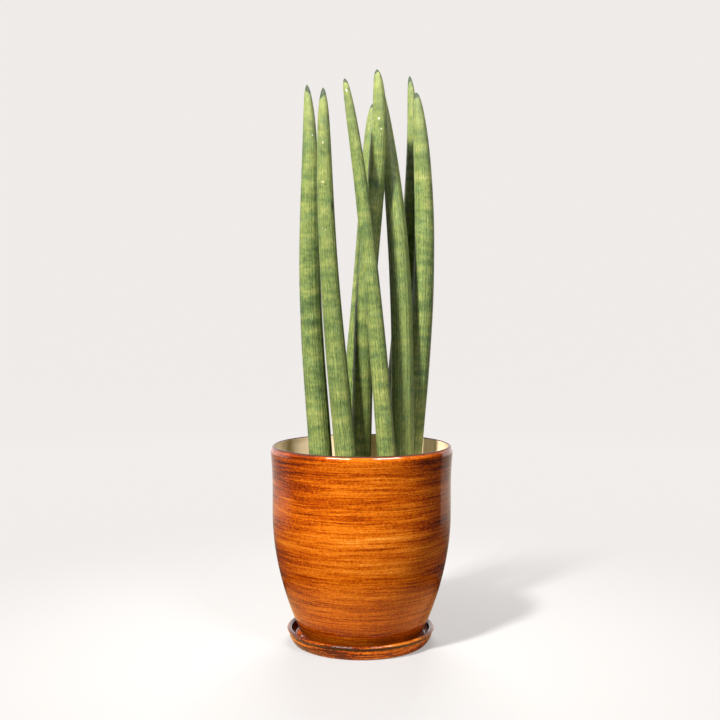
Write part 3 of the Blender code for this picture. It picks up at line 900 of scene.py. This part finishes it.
# Crowned top with lumps, and a low collar pushed up round each leaf.
def soilHeight(x, y, feet):
    edge = potInnerRadius(soil["topZ"])
    height = soil["topZ"] + soil["crown"] * (1.0 - (x * x + y * y) / edge ** 2)
    rng = np.random.default_rng(soil["lumpSeed"])
    lumps = waveNoise(rng, np.stack((x, y), axis=-1), soil["lumpWaves"], soil["lumpCount"])
    height = height + soil["lumps"] * lumps * smoothStep(edge, edge - soil["levelEdge"], np.hypot(x, y))
    for footX, footY, footRadius in feet:
        away = np.hypot(x - footX, y - footY) - footRadius
        height = height + soil["collar"] * bell(away, soil["collarWidth"])
    return height


# Point = (r cos a, r sin a, soilHeight), then down the pot's inner wall to the floor.
def makeSoil(material, feet):
    gap, columns, floorZ = soil["gap"], soil["columns"], pot["floorTop"] + soil["gap"]
    shares = np.linspace(0.0, 1.0, soil["rings"] + 1)[1:] ** soil["crowding"]
    top = turnedGrid((potInnerRadius(soil["topZ"]) - gap) * shares, 0.0 * shares, columns)
    top[..., 2] = soilHeight(top[..., 0], top[..., 1], feet)
    upperZ, lowerZ = soil["topZ"] - soil["edgeDrop"], pot["floorTop"] + soil["cornerRise"]
    wallZ = np.append(np.linspace(upperZ, lowerZ, soil["wallRings"]), floorZ)
    wallR = potInnerRadius(wallZ) - gap
    wallR[-1] -= pot["floorCorner"]
    points = np.concatenate((top, turnedGrid(wallR, wallZ, columns)))
    centre = np.zeros(1)
    poles = ((0.0, 0.0, soilHeight(centre, centre, feet)[0]), (0.0, 0.0, floorZ))
    faces = closedFaces(len(points), columns, topFirst=True)
    bed = addPiece("potting_mix", np.vstack((points.reshape(-1, 3), poles)), faces, material)
    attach(bed, "root")
    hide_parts("soil")


# One rotation matrix for each chip: first about X, then Y, then Z.
def turnMatrices(yaw, pitch, roll):
    zero, one = np.zeros(len(yaw)), np.ones(len(yaw))
    cosine, sine = np.cos((yaw, pitch, roll)), np.sin((yaw, pitch, roll))
    turnZ = np.array([[cosine[0], -sine[0], zero], [sine[0], cosine[0], zero], [zero, zero, one]])
    turnY = np.array([[cosine[1], zero, sine[1]], [zero, one, zero], [-sine[1], zero, cosine[1]]])
    turnX = np.array([[one, zero, zero], [zero, cosine[2], -sine[2]], [zero, sine[2], cosine[2]]])
    return np.einsum("ijn,jkn,kln->nil", turnZ, turnY, turnX)


# Unit vertices of a chip: rings of (sin p cos a, sin p sin a, cos p), then its top and bottom.
def chipSphere():
    polar = np.linspace(0.0, math.pi, bark["rows"] + 2)[1:-1]
    rings = turnedGrid(np.sin(polar), np.cos(polar), bark["columns"])
    return np.vstack((rings.reshape(-1, 3), (0, 0, 1), (0, 0, -1)))


# Bark chips: lumpy flattened ellipsoids, each turned at random and pressed into the soil.
def makeChips(material, feet):
    rng = np.random.default_rng(bark["seed"])
    reach = potInnerRadius(soil["topZ"]) - bark["wallGap"]
    tries = 4 * bark["chips"]
    x, y = rng.uniform(-reach, reach, (2, tries))
    size = rng.uniform(*bark["sizes"], tries)
    clear = np.hypot(x, y) < reach - size
    for footX, footY, footRadius in feet:
        clear &= np.hypot(x - footX, y - footY) > footRadius + size * bark["leafGap"]
    x, y, size = (values[clear][:bark["chips"]] for values in (x, y, size))
    count, unit = len(x), chipSphere()
    lumpy = unit[None] * (1.0 + rng.uniform(-bark["lumpiness"], bark["lumpiness"], (count, len(unit), 1)))
    halfSizes = np.column_stack((size, size * rng.uniform(*bark["widths"], count),
                                 size * rng.uniform(*bark["thicknesses"], count)))
    turns = turnMatrices(rng.uniform(0, fullTurn, count), *rng.normal(0, bark["tilt"], (2, count)))
    points = np.einsum("nij,nvj->nvi", turns, lumpy * halfSizes[:, None])
    points += np.column_stack((x, y, soilHeight(x, y, feet) + size * bark["raised"]))[:, None]
    offsets = (np.arange(count) * len(unit))[:, None, None]
    faces = [(part[None] + offsets).reshape(-1, part.shape[1])
             for part in closedFaces(bark["rows"], bark["columns"], topFirst=True)]
    tone = np.repeat(rng.uniform(0.0, 1.0, count), len(unit))
    chips = addPiece("bark_chips", points.reshape(-1, 3), faces, material, dict(tone=tone))
    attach(chips, "root")


# Matt crumbly material between two tones, chosen by crumbs or by the piece's own mask, with painted shade in
# the low parts of the crumb relief.
def makeMixMaterial(name, tones, ownTone):
    material, tree, shader = makeMaterial(name, {"Specular IOR Level": crumb["specular"]})
    crumbs = noise(tree, objectPlace(tree), crumb["scale"], 4.0, 0.65)
    amount = attribute(tree, "tone") if ownTone else remap(tree, crumbs, *crumb["paleRange"])
    colour = mixColours(tree, amount, *tones)
    # Painted shade where the crumb relief is lowest.
    colour = mixColours(tree, remap(tree, crumbs, *crumb["hollowShadeRange"]), colour, crumb["hollowShadeTone"])
    tree.links.new(colour, shader["Base Color"])
    tree.links.new(remap(tree, crumbs, *crumb["roughnessRange"]), shader["Roughness"])
    tree.links.new(bumpNormal(tree, crumbs, crumb["reliefDepth"]), shader["Normal"])
    return material


feet = leafFeet()
makeSoil(makeMixMaterial("peatMix", soil["peats"], False), feet)
makeChips(makeMixMaterial("barkChips", bark["tones"], True), feet)
print("soil made")


# Rhizome: the model's own solid with a fibrous skin

rhizomeSkin = dict(
    fibreScale=(160.0, 160.0, 420.0), fibreRange=(0.4, 0.62),
    tones=((0.52, 0.27, 0.11, 1), (0.70, 0.44, 0.20, 1)),
    roughnessRange=(0.3, 0.7, 0.6, 0.8), specular=0.3, reliefDepth=0.0004,
)


def dressRhizome():
    material, tree, shader = makeMaterial("rhizomeSkin", {"Specular IOR Level": rhizomeSkin["specular"]})
    fibres = noise(tree, objectPlace(tree), rhizomeSkin["fibreScale"], 4.0, 0.6)
    colour = mixColours(tree, remap(tree, fibres, *rhizomeSkin["fibreRange"]), *rhizomeSkin["tones"])
    tree.links.new(colour, shader["Base Color"])
    tree.links.new(remap(tree, fibres, *rhizomeSkin["roughnessRange"]), shader["Roughness"])
    tree.links.new(bumpNormal(tree, fibres, rhizomeSkin["reliefDepth"]), shader["Normal"])
    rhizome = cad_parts["rhizome"]
    rhizome.data.materials.clear()
    rhizome.data.materials.append(material)


dressRhizome()
print("rhizome dressed")


# Studio

studio = dict(
    cameraPlace=(-0.0017, -1.080, 0.3389), cameraPitch=-2.96, lens=54.0, sensorWidth=36.0,
    lightTarget=0.28,                           # height that the lights point at
    paint={"Roughness": 0.9, "Specular IOR Level": 0.1},
    floorCentre=0.3, floorRadius=1.6, bendRadius=1.0, bendRings=18, wallHeight=3.0, floorColumns=128,
    floorTone=(0.38, 0.37, 0.36, 1),
    backdropTone=(0.864, 0.831, 0.807, 1),      # what the camera sees far away
    fadeRange=(0.08, 0.60, 0.35, 1.0),          # distance over which the floor turns into the backdrop
    bounceRadius=0.210, bounceDrop=0.0006, bounceTone=(0.38, 0.22, 0.09, 1),
)

# The air's glow is what gloss mirrors, and its light is what falls on matt surfaces.
air = dict(
    wallGlow=1.50, frontGlow=0.03, groundGlow=0.10, topGlow=0.30,
    wallLight=0.13, frontLight=0.0, groundLight=0.02, topLight=0.12,
    leftStart=0.05, leftEnd=0.42, rightStart=0.46, rightEnd=0.54,      # how far back the wall begins
    turnRange=(-0.1, 0.1), topRange=(0.20, 0.60), groundRange=(-0.02, -0.30),
    wallTone=(1.0, 0.98, 0.96, 1), groundTone=(1.0, 0.80, 0.58, 1),
)

# Azimuth 0 is the camera's side and positive is to the right; sizes and distances in metres. The two
# sheen lights are only mirrored by the gloss, so their width can be that of the streaks on the rim.
softBoxes = {
    "keyLeft": dict(azimuth=-36.5, elevation=48.0, distance=3.0, size=(0.26, 0.40), power=228.0,
                    mirrored=False),
    "fillRight": dict(azimuth=36.0, elevation=44.0, distance=3.0, size=(0.80, 0.90), power=48.0,
                      mirrored=False),
    "fillBack": dict(azimuth=178.0, elevation=40.0, distance=3.0, size=(1.60, 1.20), power=130.0,
                     mirrored=False),
    "sheenLeft": dict(azimuth=-36.0, elevation=48.0, distance=3.0, size=(1.46, 0.60), power=105.0,
                      lights=False),
    "sheenRight": dict(azimuth=40.5, elevation=48.0, distance=3.0, size=(1.58, 0.60), power=110.0,
                       lights=False),
}


# Rings of (r cos a, r sin a, z), open at the last one and closed at the centre by one vertex.
def addStage(name, radii, heights, material, drop=0.0):
    columns = studio["floorColumns"]
    points = turnedGrid(radii, heights, columns).reshape(-1, 3)
    faces = [gridFaces(len(radii), columns)[:, ::-1], poleFaces(len(points), 0, columns, False)]
    stage = addPiece(name, np.vstack((points, (0.0, 0.0, 0.0))) - (0.0, 0.0, drop), faces, material)
    stage.visible_shadow = False
    return stage


# A flat round floor that bends up into a wall far away all round. Only the camera sees it. It is painted
# pale, and the further away it is, the more it glows evenly, as a lit backdrop does.
def makeFloor():
    flat, bend = studio["floorRadius"], studio["bendRadius"]
    profile = np.vstack(([(studio["floorCentre"], 0.0), (flat, 0.0)],
                         arcPoints((flat, bend), (bend, bend), -85, 0, studio["bendRings"]),
                         [(flat + bend, studio["wallHeight"])]))
    material, tree, shader = makeMaterial("backdropPaint", studio["paint"])
    fade = remap(tree, vectorLength(tree, objectPlace(tree)), *studio["fadeRange"])
    tree.links.new(mixColours(tree, fade, studio["floorTone"], (0.0, 0.0, 0.0, 1)), shader["Base Color"])
    shader["Emission Color"].default_value = studio["backdropTone"]
    seen = addNode(tree, "LightPath").outputs["Is Camera Ray"]
    tree.links.new(maths(tree, "MULTIPLY", fade, seen), shader["Emission Strength"])
    floor = addStage("studio_floor", profile[:, 0], profile[:, 1], material)
    floor.visible_diffuse = False
    floor.visible_glossy = False


# A round of warm floor under the pot that only bounces light up at it, less and less towards its edge.
def makeBounce():
    material, tree, shader = makeMaterial("bouncePaint", studio["paint"])
    away = vectorLength(tree, objectPlace(tree))
    edge = remap(tree, away, 0.5 * studio["bounceRadius"], studio["bounceRadius"])
    tree.links.new(mixColours(tree, edge, studio["bounceTone"], (0.0, 0.0, 0.0, 1)), shader["Base Color"])
    bounce = addStage("studio_bounce", np.array([studio["bounceRadius"]]), np.zeros(1), material,
                      drop=studio["bounceDrop"])
    bounce.visible_camera = False


def makeLight(name, azimuth, elevation, distance, size, power, lights=True, mirrored=True):
    data = bpy.data.lights.new(name, "AREA")
    data.shape = "RECTANGLE"
    data.size, data.size_y = size
    data.energy = power
    light = bpy.data.objects.new(name, data)
    turn, lift = math.radians(azimuth), math.radians(elevation)
    direction = np.array([math.sin(turn) * math.cos(lift), -math.cos(turn) * math.cos(lift), math.sin(lift)])
    light.location = direction * distance + (0.0, 0.0, studio["lightTarget"])
    light.rotation_euler = (math.radians(90 - elevation), 0.0, turn)
    light.visible_diffuse = lights
    light.visible_glossy = mirrored
    scene.collection.objects.link(light)


# Air round the object: a bright wall behind, a dim room in front, some light from above. The wall starts
# softly on the left and sharply on the right, and gloss mirrors it more strongly than it lights.
def makeWorld():
    world = bpy.data.worlds.new("studioAir")
    world.use_nodes = True
    tree = world.node_tree
    x, y, z = axisParts(tree, addNode(tree, "TexCoord").outputs["Generated"])
    onRight = remap(tree, x, *air["turnRange"])
    start = mixValues(tree, onRight, air["leftStart"], air["rightStart"])
    end = mixValues(tree, onRight, air["leftEnd"], air["rightEnd"])
    wall = remap(tree, y, start, end)
    above = remap(tree, z, *air["topRange"])
    below = remap(tree, z, *air["groundRange"])
    strengths = []
    for kind in ("Light", "Glow"):
        strength = mixValues(tree, wall, air["front" + kind], air["wall" + kind])
        strength = mixValues(tree, above, strength, air["top" + kind])
        strengths.append(mixValues(tree, below, strength, air["ground" + kind]))
    mirrored = addNode(tree, "LightPath").outputs["Is Glossy Ray"]
    background = tree.nodes["Background"].inputs
    tree.links.new(mixColours(tree, below, air["wallTone"], air["groundTone"]), background["Color"])
    tree.links.new(mixValues(tree, mirrored, *strengths), background["Strength"])
    scene.world = world


def makeCamera():
    data = bpy.data.cameras.new("camera")
    data.lens = studio["lens"]
    data.sensor_width = studio["sensorWidth"]
    data.clip_start = 0.01
    camera = bpy.data.objects.new("camera", data)
    camera.location = studio["cameraPlace"]
    camera.rotation_euler = (math.radians(90.0 + studio["cameraPitch"]), 0.0, 0.0)
    scene.collection.objects.link(camera)
    scene.camera = camera


makeFloor()
makeBounce()
makeWorld()
makeCamera()
for name, box in softBoxes.items():
    makeLight(name, **box)
print("studio made")
